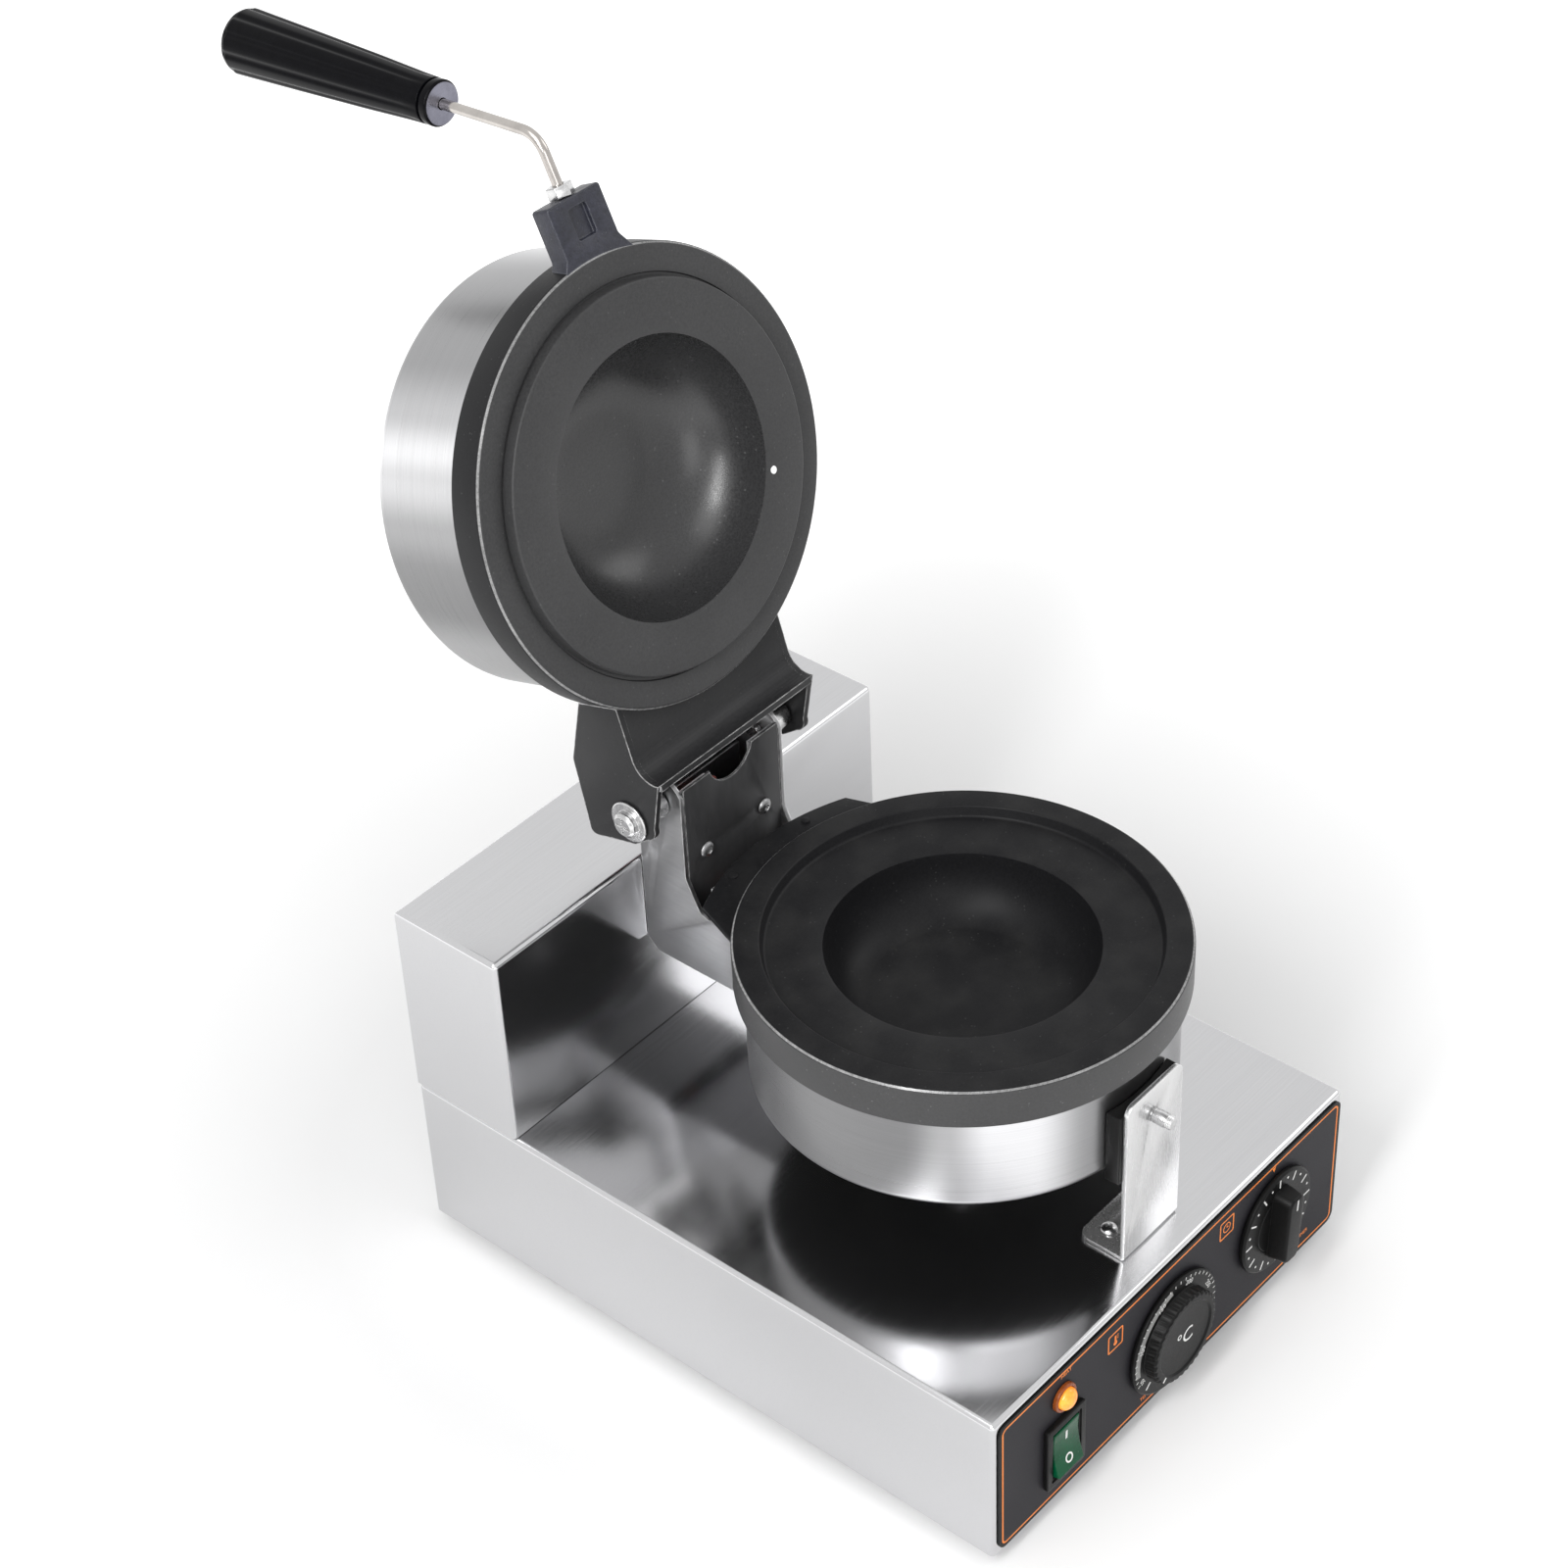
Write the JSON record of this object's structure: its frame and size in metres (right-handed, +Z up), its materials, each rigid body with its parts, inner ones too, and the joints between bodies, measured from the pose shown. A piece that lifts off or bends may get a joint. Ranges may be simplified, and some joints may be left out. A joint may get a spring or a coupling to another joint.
{
  "type": "ufo burger maker",
  "caption": "Electric burger press: round domed pans sealed by a hinged lid with a long handle, on a low stainless cabinet with a timer, thermostat and rocker switch.",
  "frame": {"origin": "centre of the part's footprint box, on the surface that the four feet stand on, with the lid open", "axes": "+Z up; -Y towards the user, where the control panel is; +X to the right as seen from the user"},
  "size_m": [0.25, 0.5154, 0.5091],
  "materials": {
    "stainless": "brushed stainless sheet",
    "steel": "plain grey steel sheet and heater tube",
    "zinc": "bright zinc plating",
    "black_plastic": "satin black moulding",
    "overlay": "dark grey printed overlay",
    "rubber": "matt black rubber",
    "gloss_black": "glossy black bakelite",
    "amber": "clear amber lens and holder",
    "silicone": "silicone lead sleeve",
    "dark_paint": "satin dark grey heat-proof paint",
    "wool": "mineral wool",
    "cast": "charcoal non-stick coating on cast aluminium",
    "green": "green rocker",
    "copper": "copper bulb and capillary",
    "ceramic": "steatite block"
  },
  "bodies": {
    "base": {"base_shell": "stainless", "bottom_plate": "stainless", "bracket_cover": "steel", "bracket_cover_screw_left": "zinc", "bracket_cover_screw_right": "zinc", "cable_gland": "black_plastic", "control_overlay": "overlay", "foot_front_left": "rubber", "foot_front_right": "rubber", "foot_rear_left": "rubber", "foot_rear_right": "rubber", "front_bolt": "zinc", "front_bracket": "zinc", "front_bracket_screw_left": "zinc", "front_bracket_screw_right": "zinc", "front_nut": "zinc", "front_spacer": "black_plastic", "hinge_bolt_left": "zinc", "hinge_bolt_right": "zinc", "hinge_bracket": "steel", "hinge_bush_left": "zinc", "hinge_bush_right": "zinc", "lamp_holder": "amber", "lamp_lens": "amber", "lid_supply_lead": "silicone", "lobe_screw_left": "zinc", "lobe_screw_right": "zinc", "lower_drum": "stainless", "lower_heater": "steel", "lower_insulation": "wool", "lower_pan_bolt": "zinc", "lower_plate": "cast", "pan_lead": "silicone", "rear_cover": "stainless", "rear_cover_screw_left": "zinc", "rear_cover_screw_right": "zinc", "rear_housing": "stainless", "switch_housing": "black_plastic", "temperature_probe": "copper", "terminal_block": "ceramic", "thermostat_body": "steel", "timer_body": "steel"},
    "lid": {"upper_plate": "cast", "upper_drum": "stainless", "upper_heater": "steel", "upper_insulation": "wool", "upper_pan_bolt": "zinc", "lid_yoke": "dark_paint", "stop_bar": "dark_paint", "yoke_screw_left": "zinc", "yoke_screw_right": "zinc", "handle_rod": "zinc", "handle_nut": "zinc", "handle_grip": "gloss_black", "vent_plug": "stainless", "lid_lead": "silicone"},
    "rocker": {"switch_rocker": "green"},
    "thermostat_dial": {"thermostat_knob": "black_plastic"},
    "timer_dial": {"timer_knob": "black_plastic"}
  },
  "joints": [
    {"name": "lid_hinge", "type": "hinge", "parent": "base", "child": "lid", "pos_m": [0, 0.00835, 0.226], "axis": [1, 0, 0], "range_deg": [0, 107]},
    {"name": "thermostat_turn", "type": "hinge", "parent": "base", "child": "thermostat_dial", "pos_m": [-0.0044, -0.24535, 0.04402], "axis": [0, 1, 0], "range_deg": [0, 300]},
    {"name": "timer_turn", "type": "hinge", "parent": "base", "child": "timer_dial", "pos_m": [0.071, -0.24535, 0.05145], "axis": [0, 1, 0], "range_deg": [0, 300]},
    {"name": "power_rocker", "type": "hinge", "parent": "base", "child": "rocker", "pos_m": [-0.0805, -0.24255, 0.04], "axis": [1, 0, 0], "range_deg": [0, 14]}
  ]
}
